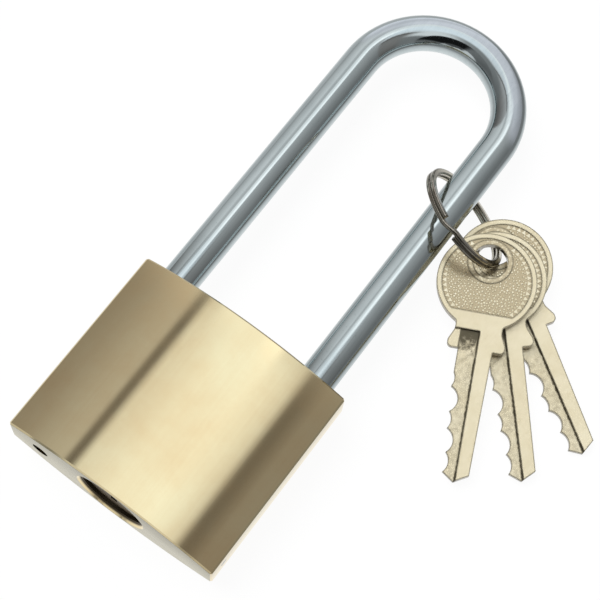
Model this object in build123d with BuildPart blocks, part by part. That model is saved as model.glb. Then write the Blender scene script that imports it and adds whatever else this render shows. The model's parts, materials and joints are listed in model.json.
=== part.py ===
from build123d import *
import os
from math import acos, atan2, cos, hypot, pi, radians, sin, sqrt

# A long-shackle brass padlock with a pin-tumbler cylinder, and three keys on a split ring.
# The lock lies on its back: +Y runs from the bottom face to the arch, +Z out of the front
# face and +X towards the toe of the shackle. The origin is the centre of the bottom face,
# on the cylinder's axis. The cylinder is stored turned to the open position.

# ---- body ------------------------------------------------------------------
body_width = 50.0
body_height = 44.0
body_thickness = 17.6          # in the middle, between the crowns of the two faces
side_thickness = 7.8           # of the flat narrow sides
edge_chamfer = 0.35

# ---- shackle ---------------------------------------------------------------
bar_diameter = 7.8
gap_width = 27.3               # clear width between the legs
gap_height = 79.0              # clear height above the body
bore_clearance = 0.075         # radial, between the bar and its bores
toe_depth = 12.0               # length of the toe inside the body when closed
toe_relief = 0.5               # empty bore below the toe
toe_chamfer = 0.9
heel_end_height = 10.0         # lower end of the heel above the bottom face
heel_head_length = 3.0
heel_neck_diameter = 5.0
heel_chamfer = 0.6
heel_bore_floor = 2.5
drain_diameter = 3.7
shackle_lift = 13.5

# ---- locking bolt ----------------------------------------------------------
bolt_diameter = 6.0
bolt_below_top = 7.0           # of the bolt's axis below the body's top face
bolt_clearance = 0.05
notch_depth = 2.2
notch_side_gap = 0.1
bolt_tip_gap = 0.25            # between the thrown bolt and the floor of the notch
bolt_bevel = 1.6
bolt_back_wall = 2.0
bolt_bore_back = -12.0
snap_travel = 3.6              # how far the toe can push the bolt back
pocket_play = 0.13
pocket_depth = 2.4
bolt_cap_gap = 0.3

# ---- cylinder plug ---------------------------------------------------------
plug_diameter = 14.8
plug_clearance = 0.05
plug_face_depth = 1.5          # of the plug's face below the bottom face
plug_to_bolt = 1.5             # between the plug's end and the bolt
plug_end_gap = 0.1
mouth_diameter = 16.6
cam_throw = 2.5
cam_pin_diameter = 2.2
cam_pin_length = 3.6
cam_well_diameter = 8.0
cam_well_gap = 0.2
groove_height = 4.0
groove_width = 1.9
groove_depth = 1.1
plug_edge_chamfer = 0.3

# ---- keys ------------------------------------------------------------------
key_count = 3
key_thickness = 2.0
bow_diameter = 21.0
bow_offset = 4.4               # from the ring hole to the bow's centre
key_hole_diameter = 7.3
neck_length = 4.4              # from the bow's rim to the shoulders
blade_length = 27.8
blade_height = 7.2
spine_height = 3.3             # full-thickness band along the back of the blade
blade_mill_depth = 0.7
mill_start_gap = 4.1           # how far the milling runs into the neck
waist_length = 4.0             # from the narrowest part of the neck to the shoulders
waist_width = 9.8
waist_corner = 2.0
collar_width = 12.0            # across the shoulders
collar_length = 1.6
collar_corner = 1.0
bow_corner = 0.8               # where the neck meets the bow
blade_taper = 0.6              # of the blade's back, over its length
tip_front_bevel = 2.5
tip_back_bevel = 1.7
rim_width = 1.1
field_depth = 0.16
field_length = 6.9             # from the bow's centre to the plain band
cut_radius = 3.0
first_cut = 6.6                # from the shoulders
cut_pitch = 4.35
cut_heights = (6.8, 5.45, 6.1, 5.0, 5.25)   # blade left under each cut, from the back

# ---- pin stacks ------------------------------------------------------------
pin_diameter = 2.9
pin_hole_diameter = 3.0
shear_gap = 0.2                # of the key pins' flat ends inside the plug's surface
driver_length = 6.0
chamber_cap_length = 4.0
keyway_clearance = 0.1
keyway_end_height = 30.3
pin_tip_length = 0.9
pin_tip_diameter = 1.0

# ---- fixed pins and springs ------------------------------------------------
heel_pin_diameter = 2.5
heel_pin_reach = 1.25          # into the heel bore
plug_pin_diameter = 1.7
fixed_pin_clearance = 0.01
spring_end_gap = 0.06

# ---- split ring ------------------------------------------------------------
ring_diameter = 24.0
ring_wire_width = 1.4          # radial
ring_wire_height = 0.93        # along the ring's axis
ring_turn_gap = 0.04
ring_ramp_angle = 22.0
ring_corner = 0.2
ring_above_body = 48.38         # centre of the ring beyond the body's top face
ring_beyond_leg = 3.8          # and to the right of the toe leg's axis
ring_lift = 0.19               # and above the lock's middle plane
ring_axis = Vector(0.392, 0.7, 0.597)
ring_ramp_direction = Vector(-0.016, -0.643, 0.765)

# ---- how the keys lie ------------------------------------------------------
key_slope = 7.0                # fall of the stack towards the blades, degrees
key_gap = 0.12
lowest_key_level = -6.13       # along the stack's normal, from the ring's centre
key_headings = (25.6, 41.6, 57.3)   # of the blades, turned from -Y towards +X
key_shifts = ((-0.7, -0.2), (-0.3, -0.2), (-1.0, 0.75))   # of the holes from the wire: across, uphill

# ---- worked out ------------------------------------------------------------
half_width = body_width / 2
half_thickness = body_thickness / 2
bar_radius = bar_diameter / 2
leg_offset = gap_width / 2 + bar_radius
arch_height = body_height + gap_height + bar_radius - leg_offset
bar_bore_radius = bar_radius + bore_clearance
bolt_height = body_height - bolt_below_top
plug_end_height = bolt_height - bolt_diameter / 2 - plug_to_bolt
plug_radius = plug_diameter / 2
plug_bore_radius = plug_radius + plug_clearance
heel_head_end = heel_end_height + heel_head_length
heel_pin_height = heel_head_end + shackle_lift + heel_pin_diameter / 2 + 0.2
heel_neck_end = heel_pin_height + heel_pin_diameter / 2 + 0.2
notch_floor = leg_offset - bar_radius + notch_depth
cam_reach = cam_throw * sin(radians(45))
bolt_travel = 2 * cam_reach
bolt_tip = notch_floor - bolt_tip_gap - bolt_travel
pocket_back = -cam_reach - cam_pin_diameter / 2 - pocket_play
pocket_front = -cam_reach + cam_pin_diameter / 2 + pocket_play + snap_travel
bolt_back = pocket_back - bolt_back_wall
bolt_bore_radius = bolt_diameter / 2 + bolt_clearance
bolt_cap_start = leg_offset + bar_bore_radius + bolt_cap_gap
pin_count = len(cut_heights)
pin_heights = [plug_face_depth + first_cut + cut_pitch * i for i in range(pin_count)]
key_pin_end = plug_radius - shear_gap
driver_start = plug_bore_radius
driver_end = driver_start + driver_length
chamber_cap_start = half_width - chamber_cap_length
blade_back = blade_height / 2
blade_front = -blade_height / 2
ring_radius = (ring_diameter - ring_wire_width) / 2
ring_half_turn = (ring_wire_height + ring_turn_gap) / 2
ring_centre = Vector(leg_offset + ring_beyond_leg, body_height + ring_above_body, ring_lift)
ring_axis = ring_axis.normalized()
stack_normal = Vector(0, -sin(radians(key_slope)), cos(radians(key_slope)))
stack_downhill = Vector(0, -cos(radians(key_slope)), -sin(radians(key_slope)))


def across(height):
    """Plane across the lock at this height, facing the arch; its own y runs to the back."""
    return Plane(origin=(0, height, 0), x_dir=(1, 0, 0), z_dir=(0, 1, 0))


def sideways(x):
    """Plane at this x, facing the toe side; its own x runs to the arch and its y to the front."""
    return Plane(origin=(x, 0, 0), x_dir=(0, 1, 0), z_dir=(1, 0, 0))


def save(piece, name):
    """Label a finished piece and write it to its own STEP file."""
    piece.part.label = name
    export_step(piece.part, f"parts/{name}.step")


os.makedirs("parts", exist_ok=True)


# ---- body: a lens-section block with every bore drilled into it -------------
with BuildPart() as body:
    with BuildSketch(across(0)):
        with BuildLine():
            ThreePointArc(
                (-half_width, side_thickness / 2), (0, half_thickness), (half_width, side_thickness / 2)
            )
            Line((half_width, side_thickness / 2), (half_width, -side_thickness / 2))
            ThreePointArc(
                (half_width, -side_thickness / 2), (0, -half_thickness), (-half_width, -side_thickness / 2)
            )
            Line((-half_width, -side_thickness / 2), (-half_width, side_thickness / 2))
        make_face()
    extrude(amount=body_height)
    chamfer(body.edges(), length=edge_chamfer)
    # Cylinder bore with a countersunk mouth, and a narrower well for the cam pin.
    with BuildSketch(across(0)):
        Circle(plug_bore_radius)
    extrude(amount=plug_end_height + plug_end_gap, mode=Mode.SUBTRACT)
    with BuildSketch(across(0)):
        Circle(mouth_diameter / 2)
    extrude(amount=mouth_diameter / 2 - plug_bore_radius, taper=45, mode=Mode.SUBTRACT)
    with BuildSketch(across(plug_end_height)):
        Circle(cam_well_diameter / 2)
    extrude(amount=cam_pin_length + cam_well_gap, mode=Mode.SUBTRACT)
    # Heel bore down to its floor, drained through the bottom face, and the short toe bore.
    with BuildSketch(across(heel_bore_floor)):
        with Locations((-leg_offset, 0)):
            Circle(bar_bore_radius)
    extrude(amount=body_height, mode=Mode.SUBTRACT)
    with BuildSketch(across(0)):
        with Locations((-leg_offset, 0)):
            Circle(drain_diameter / 2)
    extrude(amount=heel_bore_floor + 1, mode=Mode.SUBTRACT)
    with BuildSketch(across(body_height - toe_depth - toe_relief)):
        with Locations((leg_offset, 0)):
            Circle(bar_bore_radius)
    extrude(amount=body_height, mode=Mode.SUBTRACT)
    # Bolt bore, drilled from the toe side through the toe bore.
    with BuildSketch(sideways(bolt_bore_back)):
        with Locations((bolt_height, 0)):
            Circle(bolt_bore_radius)
    extrude(amount=body_width, mode=Mode.SUBTRACT)
    # Pin chambers, drilled from the toe side into the cylinder bore.
    with BuildSketch(sideways(0)):
        with Locations(*[(height, 0) for height in pin_heights]):
            Circle(pin_hole_diameter / 2)
    extrude(amount=body_width, mode=Mode.SUBTRACT)
    # Hole for the pin that holds the plug, and hole from the cylinder bore to the heel bore.
    with BuildSketch(sideways(0)):
        with Locations((groove_height, 0)):
            Circle(plug_pin_diameter / 2 + fixed_pin_clearance)
    extrude(amount=body_width, mode=Mode.SUBTRACT)
    with BuildSketch(sideways(-leg_offset)):
        with Locations((heel_pin_height, 0)):
            Circle(heel_pin_diameter / 2 + fixed_pin_clearance)
    extrude(amount=leg_offset, mode=Mode.SUBTRACT)
save(body, "body")


# ---- shackle: bent bar with a turned heel and a notched toe -----------------
with BuildPart() as shackle:
    with BuildLine():
        heel_leg = Line((-leg_offset, heel_neck_end, 0), (-leg_offset, arch_height, 0))
        ThreePointArc(
            (-leg_offset, arch_height, 0), (0, arch_height + leg_offset, 0), (leg_offset, arch_height, 0)
        )
        Line((leg_offset, arch_height, 0), (leg_offset, body_height - toe_depth, 0))
    with BuildSketch(Plane(origin=heel_leg @ 0, z_dir=heel_leg % 0)):
        Circle(bar_radius)
    sweep()
    toe_edge = shackle.edges().filter_by(GeomType.CIRCLE).sort_by(
        lambda edge: edge.distance_to(Vertex(leg_offset, body_height - toe_depth, 0))
    )[0]
    chamfer(toe_edge, length=toe_chamfer)
    # Turned neck and head of the heel.
    with BuildSketch(across(heel_head_end)):
        with Locations((-leg_offset, 0)):
            Circle(heel_neck_diameter / 2)
    extrude(amount=heel_neck_end - heel_head_end)
    with BuildSketch(across(heel_end_height)):
        with Locations((-leg_offset, 0)):
            Circle(bar_radius)
    extrude(amount=heel_head_length)
    heel_edge = shackle.edges().filter_by(GeomType.CIRCLE).sort_by(Axis.Y)[0]
    chamfer(heel_edge, length=heel_chamfer)
    # Notch on the inner side of the toe, where the bolt enters.
    with BuildSketch(Plane.XY):
        with Locations((notch_floor, bolt_height)):
            Rectangle(
                bar_diameter, bolt_diameter + 2 * notch_side_gap, align=(Align.MAX, Align.CENTER)
            )
    extrude(amount=bar_diameter, both=True, mode=Mode.SUBTRACT)
save(shackle, "shackle")


# ---- locking bolt: bevelled tip, and a pocket for the cam pin in its underside
with BuildPart() as bolt:
    with BuildSketch(sideways(bolt_back)):
        with Locations((bolt_height, 0)):
            Circle(bolt_diameter / 2)
    extrude(amount=bolt_tip - bolt_back)
    # Bevel that the closing toe rides on.
    bevel_top = bolt_height + bolt_diameter / 2
    with BuildSketch(Plane.XY):
        with BuildLine():
            Polyline(
                (bolt_tip, bevel_top),
                (bolt_tip - bolt_bevel, bevel_top),
                (bolt_tip, bevel_top - 2 * bolt_bevel),
                close=True,
            )
        make_face()
    extrude(amount=bolt_diameter, both=True, mode=Mode.SUBTRACT)
    with BuildSketch(across(bolt_height - bolt_diameter / 2)):
        with Locations(((pocket_back + pocket_front) / 2, 0)):
            Rectangle(pocket_front - pocket_back, bolt_diameter)
    extrude(amount=pocket_depth, mode=Mode.SUBTRACT)
save(bolt, "bolt")


# ---- screw-less cap that closes the bolt bore, flush with the side ----------
with BuildPart() as bolt_bore_cap:
    with BuildSketch(sideways(bolt_cap_start)):
        with Locations((bolt_height, 0)):
            Circle(bolt_diameter / 2 + bolt_clearance - fixed_pin_clearance)
    extrude(amount=half_width - bolt_cap_start)
save(bolt_bore_cap, "bolt_bore_cap")


# ---- cylinder plug with its keyway, pin holes, groove and cam pin -----------
# It is drawn with the bitting side of the keyway towards the back, as when it is turned open.
with BuildPart() as plug:
    with BuildSketch(across(plug_face_depth)):
        Circle(plug_radius)
    extrude(amount=plug_end_height - plug_face_depth)
    chamfer(plug.edges().filter_by(GeomType.CIRCLE), length=plug_edge_chamfer)
    # Annular groove for the pin that holds the plug.
    with BuildSketch(across(groove_height - groove_width / 2)):
        Circle(plug_radius + 1)
        Circle(plug_radius - groove_depth, mode=Mode.SUBTRACT)
    extrude(amount=groove_width, mode=Mode.SUBTRACT)
    # Keyway: full width along the key's back, narrower where the blade is milled.
    keyway_half = key_thickness / 2 + keyway_clearance
    ward_edge = key_thickness / 2 - blade_mill_depth + keyway_clearance
    with BuildSketch(across(plug_face_depth)):
        with BuildLine():
            Polyline(
                (-keyway_half, -blade_back - keyway_clearance),
                (keyway_half, -blade_back - keyway_clearance),
                (keyway_half, -blade_back + spine_height + keyway_clearance),
                (ward_edge, -blade_back + spine_height + keyway_clearance),
                (ward_edge, blade_back + keyway_clearance),
                (-keyway_half, blade_back + keyway_clearance),
                close=True,
            )
        make_face()
    extrude(amount=keyway_end_height - plug_face_depth, mode=Mode.SUBTRACT)
    # Pin holes from the bitting side of the keyway to the surface.
    with BuildSketch(Plane.XY.offset(-plug_radius - 1)):
        with Locations(*[(0, height) for height in pin_heights]):
            Circle(pin_hole_diameter / 2)
    extrude(amount=plug_radius + 1, mode=Mode.SUBTRACT)
    # Eccentric pin that works the bolt.
    with BuildSketch(across(plug_end_height - 0.5)):
        with Locations((-cam_reach, cam_reach)):
            Circle(cam_pin_diameter / 2)
    extrude(amount=cam_pin_length + 0.5)
save(plug, "plug")


# ---- pins that hold the shackle and the plug in the body --------------------
with BuildPart() as heel_pin:
    with BuildSketch(sideways(-leg_offset + bar_bore_radius - heel_pin_reach)):
        with Locations((heel_pin_height, 0)):
            Circle(heel_pin_diameter / 2)
    extrude(amount=leg_offset - bar_bore_radius + heel_pin_reach - plug_bore_radius - 0.2)
save(heel_pin, "heel_pin")

with BuildPart() as plug_pin:
    plug_pin_start = plug_radius - groove_depth + 0.2
    with BuildSketch(sideways(plug_pin_start)):
        with Locations((groove_height, 0)):
            Circle(plug_pin_diameter / 2)
    extrude(amount=half_width - plug_pin_start)
save(plug_pin, "plug_pin")


# ---- pin stacks: key pin, driver pin, spring and chamber cap ----------------
def coil_spring(start, direction, length, mean_radius, wire, turns):
    """Open coil of square wire, standing on start and running along direction."""
    with BuildPart() as spring:
        with BuildLine():
            path = Helix(
                pitch=(length - wire) / turns,
                height=length - wire,
                radius=mean_radius,
                center=Vector(*start) + Vector(*direction) * (wire / 2),
                direction=direction,
            )
        with BuildSketch(Plane(origin=path @ 0, z_dir=path % 0, x_dir=direction)):
            Rectangle(wire, wire)
        sweep(is_frenet=True)
    return spring


for index, height in enumerate(pin_heights):
    number = index + 1
    pin_tip = -blade_back + cut_heights[index]
    with BuildPart() as key_pin:
        with BuildSketch(Plane.XY.offset(-key_pin_end)):
            with Locations((0, height)):
                Circle(pin_diameter / 2)
        extrude(amount=key_pin_end - pin_tip - pin_tip_length)
        with BuildSketch(Plane.XY.offset(-pin_tip - pin_tip_length)):
            with Locations((0, height)):
                Circle(pin_diameter / 2)
        with BuildSketch(Plane.XY.offset(-pin_tip)):
            with Locations((0, height)):
                Circle(pin_tip_diameter / 2)
        loft()
    save(key_pin, f"key_pin_{number}")

    with BuildPart() as driver_pin:
        with BuildSketch(sideways(driver_start)):
            with Locations((height, 0)):
                Circle(pin_diameter / 2)
        extrude(amount=driver_length)
    save(driver_pin, f"driver_pin_{number}")

    pin_spring = coil_spring(
        start=(driver_end + spring_end_gap, height, 0),
        direction=(1, 0, 0),
        length=chamber_cap_start - driver_end - 2 * spring_end_gap,
        mean_radius=1.1,
        wire=0.35,
        turns=3,
    )
    save(pin_spring, f"pin_spring_{number}")

    with BuildPart() as chamber_cap:
        with BuildSketch(sideways(chamber_cap_start)):
            with Locations((height, 0)):
                Circle(pin_hole_diameter / 2 - fixed_pin_clearance)
        extrude(amount=chamber_cap_length)
    save(chamber_cap, f"chamber_cap_{number}")


# ---- the two larger springs -------------------------------------------------
bolt_spring = coil_spring(
    start=(bolt_bore_back + spring_end_gap, bolt_height, 0),
    direction=(1, 0, 0),
    length=bolt_back - bolt_bore_back - 2 * spring_end_gap,
    mean_radius=2.2,
    wire=0.6,
    turns=4,
)
save(bolt_spring, "bolt_spring")

shackle_spring = coil_spring(
    start=(-leg_offset, heel_bore_floor + spring_end_gap, 0),
    direction=(0, 1, 0),
    length=heel_end_height - heel_bore_floor - 2 * spring_end_gap,
    mean_radius=3.0,
    wire=0.9,
    turns=4,
)
save(shackle_spring, "shackle_spring")


# ---- split ring: two flat turns of one wire, joined by a short ramp ---------
ring_zero = (ring_ramp_direction - ring_axis * ring_ramp_direction.dot(ring_axis)).normalized()
ring_side = ring_axis.cross(ring_zero)


def ring_radial(angle):
    """Direction from the ring's centre to its wire; the ramp is at zero degrees."""
    return ring_zero * cos(radians(angle)) + ring_side * sin(radians(angle))


def ring_section(angle):
    """Plane across the wire: its own x is radial and its y runs along the ring's axis."""
    tangent = ring_side * cos(radians(angle)) - ring_zero * sin(radians(angle))
    return Plane(origin=ring_centre, x_dir=ring_radial(angle), z_dir=-tangent)


ramp_half = ring_ramp_angle / 2
ramp_steps = 4
with BuildPart() as split_ring:
    for turn_shift in (-ring_half_turn, ring_half_turn):
        with BuildSketch(ring_section(ramp_half)) as wire_section:
            with Locations((ring_radius, turn_shift)):
                Rectangle(ring_wire_width, ring_wire_height)
            chamfer(wire_section.vertices(), length=ring_corner)
        revolve(axis=Axis(ring_centre, ring_axis), revolution_arc=360 - ring_ramp_angle)
    for step in range(ramp_steps + 1):
        part_way = step / ramp_steps
        with BuildSketch(ring_section(-ramp_half + ring_ramp_angle * part_way)) as wire_section:
            with Locations((ring_radius, -ring_half_turn * cos(pi * part_way))):
                Rectangle(ring_wire_width, ring_wire_height)
            chamfer(wire_section.vertices(), length=ring_corner)
    loft()
save(split_ring, "split_ring")


# ---- keys: stamped blanks with a recessed bow, a milled blade and round cuts -
def wire_point(level):
    """Where the ring's wire goes down through the plane at this level of the key stack."""
    along_zero = stack_normal.dot(ring_zero)
    along_side = stack_normal.dot(ring_side)
    swing = acos(level / (ring_radius * hypot(along_zero, along_side)))
    middle = atan2(along_side, along_zero)
    ends = [
        ring_centre + ring_radial((middle + turn) * 180 / pi) * ring_radius
        for turn in (swing, -swing)
    ]
    return max(ends, key=lambda point: point.X)


bow_radius = bow_diameter / 2
shoulder = bow_offset + bow_radius + neck_length
waist = shoulder - waist_length
bow_meets_neck = bow_offset + sqrt(bow_radius**2 - (waist_width / 2) ** 2)
blade_tip = shoulder + blade_length
field_radius = bow_diameter / 2 - rim_width
for index in range(key_count):
    number = index + 1
    level = lowest_key_level + (key_count - number) * (key_thickness + key_gap)
    heading = radians(key_headings[index])
    direction = Vector(sin(heading), 0, 0) + stack_downhill * cos(heading)
    across_shift, uphill_shift = key_shifts[index]
    hole_centre = wire_point(level) + Vector(across_shift, 0, 0) - stack_downhill * uphill_shift
    middle_plane = Plane(origin=hole_centre, x_dir=direction, z_dir=stack_normal)
    lower_face = middle_plane.offset(-key_thickness / 2)
    with BuildPart() as key:
        with BuildSketch(lower_face) as outline:
            with Locations((bow_offset, 0)):
                Circle(bow_diameter / 2)
            # Neck with a narrow waist, flaring to the collar that stops the key in the lock.
            with BuildLine():
                Polyline(
                    (bow_offset, -waist_width / 2),
                    (waist, -waist_width / 2),
                    (shoulder - collar_length, -collar_width / 2),
                    (shoulder, -collar_width / 2),
                    (shoulder, collar_width / 2),
                    (shoulder - collar_length, collar_width / 2),
                    (waist, waist_width / 2),
                    (bow_offset, waist_width / 2),
                    close=True,
                )
            make_face()
            for corner, radius in (
                (shoulder, collar_corner),
                (waist, waist_corner),
                (bow_meets_neck, bow_corner),
            ):
                fillet(outline.vertices().filter_by_position(Axis.X, corner - 0.01, corner + 0.01), radius)
            # Blade with its pointed tip.
            with BuildLine():
                Polyline(
                    (shoulder - 1, blade_front),
                    (blade_tip - tip_front_bevel, blade_front),
                    (blade_tip, blade_back - spine_height - 0.3),
                    (blade_tip - tip_back_bevel, blade_back - blade_taper),
                    (shoulder - 1, blade_back),
                    close=True,
                )
            make_face()
            for cut, cut_height in enumerate(cut_heights):
                cut_place = shoulder + first_cut + cut_pitch * cut
                with Locations((cut_place, blade_back - cut_height - cut_radius)):
                    Circle(cut_radius, mode=Mode.SUBTRACT)
            Circle(key_hole_diameter / 2, mode=Mode.SUBTRACT)
        extrude(amount=key_thickness)
        # Sunk field of the bow on both faces, inside a raised rim.
        with BuildSketch(middle_plane.offset(key_thickness / 2 - field_depth)):
            with Locations((bow_offset, 0)):
                Circle(field_radius)
            with Locations((bow_offset + field_length, 0)):
                Rectangle(bow_diameter, bow_diameter, align=(Align.MIN, Align.CENTER), mode=Mode.SUBTRACT)
            Circle(key_hole_diameter / 2 + rim_width, mode=Mode.SUBTRACT)
        extrude(amount=key_thickness, mode=Mode.SUBTRACT)
        with BuildSketch(middle_plane.offset(-key_thickness / 2 + field_depth)):
            with Locations((bow_offset, 0)):
                Circle(field_radius)
            with Locations((bow_offset + field_length, 0)):
                Rectangle(bow_diameter, bow_diameter, align=(Align.MIN, Align.CENTER), mode=Mode.SUBTRACT)
            Circle(key_hole_diameter / 2 + rim_width, mode=Mode.SUBTRACT)
        extrude(amount=-key_thickness, mode=Mode.SUBTRACT)
        # Milled step along the bitting side of the blade.
        with BuildSketch(middle_plane.offset(key_thickness / 2 - blade_mill_depth)):
            with Locations((shoulder - mill_start_gap, blade_back - spine_height)):
                Rectangle(blade_length + bow_diameter, bow_diameter, align=(Align.MIN, Align.MAX))
        extrude(amount=key_thickness, mode=Mode.SUBTRACT)
    save(key, f"key_{number}")
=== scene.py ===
"""A long-shackle brass padlock with three keys on a split ring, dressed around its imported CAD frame."""

import json
import math

import bmesh
import bpy
from mathutils import Matrix, Vector


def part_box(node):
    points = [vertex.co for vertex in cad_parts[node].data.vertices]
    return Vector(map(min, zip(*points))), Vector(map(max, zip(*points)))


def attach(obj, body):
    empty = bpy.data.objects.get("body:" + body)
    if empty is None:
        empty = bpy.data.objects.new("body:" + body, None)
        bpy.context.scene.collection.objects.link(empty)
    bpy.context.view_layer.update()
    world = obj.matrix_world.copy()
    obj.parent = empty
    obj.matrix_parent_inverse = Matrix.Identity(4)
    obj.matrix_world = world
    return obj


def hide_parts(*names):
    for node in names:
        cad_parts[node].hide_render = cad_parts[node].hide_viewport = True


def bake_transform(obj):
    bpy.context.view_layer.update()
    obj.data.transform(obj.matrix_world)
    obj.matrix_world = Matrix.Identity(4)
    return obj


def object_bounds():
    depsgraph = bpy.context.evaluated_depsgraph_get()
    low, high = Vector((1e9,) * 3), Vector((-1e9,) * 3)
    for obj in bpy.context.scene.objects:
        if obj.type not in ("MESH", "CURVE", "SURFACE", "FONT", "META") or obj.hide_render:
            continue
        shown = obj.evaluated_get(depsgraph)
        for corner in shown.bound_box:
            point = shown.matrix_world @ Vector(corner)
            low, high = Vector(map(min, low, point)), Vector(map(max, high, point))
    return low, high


MM = 0.001

# ---- sizes on the keys, in metres, in each key's own plane ---------------------
# Lengths along the blade start at the ring hole, unless a line says otherwise.
BOW_OFFSET = 4.4 * MM  # from the ring hole to the centre of the bow
FIELD_RADIUS = 9.4 * MM
FIELD_LENGTH = 6.9 * MM  # from the bow's centre to the plain band
FIELD_LEVEL = 0.84 * MM  # of the sunk field, either side of the key's middle plane
HOLE_COLLAR = 4.75 * MM  # radius of the struck collar round the ring hole
COLLAR_FADE = 0.1 * MM
COLLAR_INNER_FULL = 0.95 * MM  # the struck pattern is full this far in from the collar's edge,
COLLAR_INNER_END = 1.15 * MM  # and has faded out this far in, just inside the edge of the hole
MILLING_START = 15.2 * MM
MILLING_EDGE = 0.3 * MM  # across the blade
BLADE_START = 19.3 * MM
BLADE_HALF_HEIGHT = 3.6 * MM
LEVEL_PLAY = 0.02 * MM  # added to a limit, so that a face lying on it counts as inside

# ---- painted shade and dirt on the keys ----------------------------------------
LOWEST_SHADE_AND_DIRT = -0.6 * MM  # the painted shade and dirt of the milling stay above this level
STEP_LINE_SHIFT = 0.12 * MM  # of the dark line from the milled step, down into the milling
STEP_LINE_CORE = 0.18 * MM
STEP_LINE_REACH = 0.46 * MM
STEP_LINE_WAVER = 0.26 * MM
STEP_LINE_SHARE = 0.97
# Painted shade below the step, where the milling starts:
ROOT_SHADE_FULL = 2.2 * MM  # past the start of the milling
ROOT_SHADE_END = 5.2 * MM
ROOT_SHADE_WAVER = 1.6 * MM
ROOT_SHADE_SHARE = 0.93
LUG_LINE_CORE = 0.08 * MM
LUG_LINE_REACH = 0.28 * MM
LUG_LINE_SHARE = 0.8
# share of the painted shade in the struck collar's pits
STRUCK_SHADE_SHARE = 0.75
# share of the painted shade on the sunk field between the pebbles
FIELD_SHADE_SHARE = 0.85
# share of the painted shade on the keys' cut sides
CUT_SIDE_SHADE_SHARE = 0.72
SHADE_AND_DIRT_DULLING = 0.25  # roughness that the full mask of painted shade and dirt adds

# ---- raised pebbles and rim marks of the bows ----------------------------------
PEBBLE_SIZE = 0.30 * MM
PEBBLE_PITCH = 0.52 * MM
PEBBLE_RISE = 0.075 * MM
PEBBLE_SIDES = 7
PEBBLE_TOP = 0.68  # radius of its top, in pebble sizes
PEBBLE_FOOT = 1.2
PEBBLE_DEPTH = 2.0  # in pebble rises, half of it below the field
PEBBLE_CROWDING = 4.0  # pebbles tried on a square of one pitch, before the pitch thins them
SMALLEST_PEBBLE = 0.75
LARGEST_PEBBLE = 1.1
FIRST_SEED = 11  # of the first key's pebbles
GROUND_CORNERS = 64  # of the round ground that the pebbles are scattered on
RIM_MARKS = 48
RIM_MARK_SIDES = 3
RIM_MARK_RADIUS = 8.75 * MM
RIM_MARK_SIZE = 0.56 * MM
RIM_MARK_DEPTH = 3.0  # in pebble rises, half of it below the field
PEBBLE_GROUND_RADIUS = 8.2 * MM  # pebbles stop here and leave the rim marks a plain ground

# ---- sizes on the lock and the ring --------------------------------------------
PLUG_BORE_SHADE = 8.0 * MM  # radius of the painted shade in the cylinder's bore
PLUG_BORE_START = 0.3 * MM  # height in the body at which it starts
LEG_BORE_SHADE = 4.0 * MM
HEEL_BORE_START = 1.0 * MM
TOE_BORE_START = 30.0 * MM
BORE_END = 43.5 * MM  # just below the body's top face, which keeps its own tone
BORE_EDGE = 0.08 * MM  # across the wall
BORE_FADE = 0.3 * MM  # along the axis
BORE_DULLING = 0.4  # roughness that the bores add
SAWN_SKIN = 0.04 * MM  # thickness of the layer that counts as a sawn end
SAWN_DULLING = 0.2
RUBBED_EDGE = 0.25 * MM
RUBBED_SHARE = 0.5
KEY_SHADED_EDGE = 0.5 * MM  # on the keys, width of their painted dark outline, a painted shade
WIRE_ROUNDING = 0.45 * MM  # of the split ring's wire, in its shading
RELIEF_DEPTH = 0.1 * MM  # of the fine bump on every metal
SPECK_DEPTH = 0.6  # of a handling mark, against the height of a streak
SAME_POINT = 0.001 * MM  # corners of a spring's wire that lie closer than this are merged

# ---- finishes, as linear colours -----------------------------------------------
POLISHED_BRASS = (0.90, 0.785, 0.49)
RUBBED_BRASS = (0.93, 0.84, 0.60)
HAZED_BRASS = (0.85, 0.675, 0.39)
# Painted shade inside the drilled bores:
BORE_SHADE_BRASS = (0.09, 0.07, 0.045)
SAWN_BRASS = (0.435, 0.40, 0.285)
SAWN_BRASS_LIGHT = (0.555, 0.52, 0.375)
# The plug deep in its bore is brass painted dark, a painted shade:
CORE_BRASS_IN_SHADE = (0.17, 0.13, 0.08)
CORE_BRASS_SHADED = (0.10, 0.075, 0.045)
PIN_BRASS = (0.78, 0.62, 0.31)
ZINC = (0.60, 0.668, 0.682)
ZINC_SHADED = (0.49, 0.56, 0.575)
NICKEL = (0.77, 0.685, 0.49)
NICKEL_SHADED = (0.66, 0.57, 0.375)
# Painted shade on the keys' edges, cut sides and the start of the milling, shared with their dark lines and dirt:
NICKEL_SHADE_AND_DIRT = (0.075, 0.064, 0.038)
# Painted shade on the sunk field between the pebbles and in the collar's pits:
NICKEL_FIELD_SHADE = (0.43, 0.352, 0.22)
# Painted highlight: the bows' pebbles and rim marks are a lighter nickel than the key.
LIT_STRUCK_NICKEL = (0.93, 0.84, 0.63)
RING_STEEL = (0.15, 0.135, 0.105)
RING_STEEL_SHADED = (0.06, 0.052, 0.038)
# Painted highlight along the crown of the ring's wire:
RING_PAINTED_HIGHLIGHT = (0.62, 0.59, 0.50)
GROUND_STEEL = (0.55, 0.55, 0.56)
GROUND_STEEL_SHADED = (0.42, 0.42, 0.43)

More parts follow.
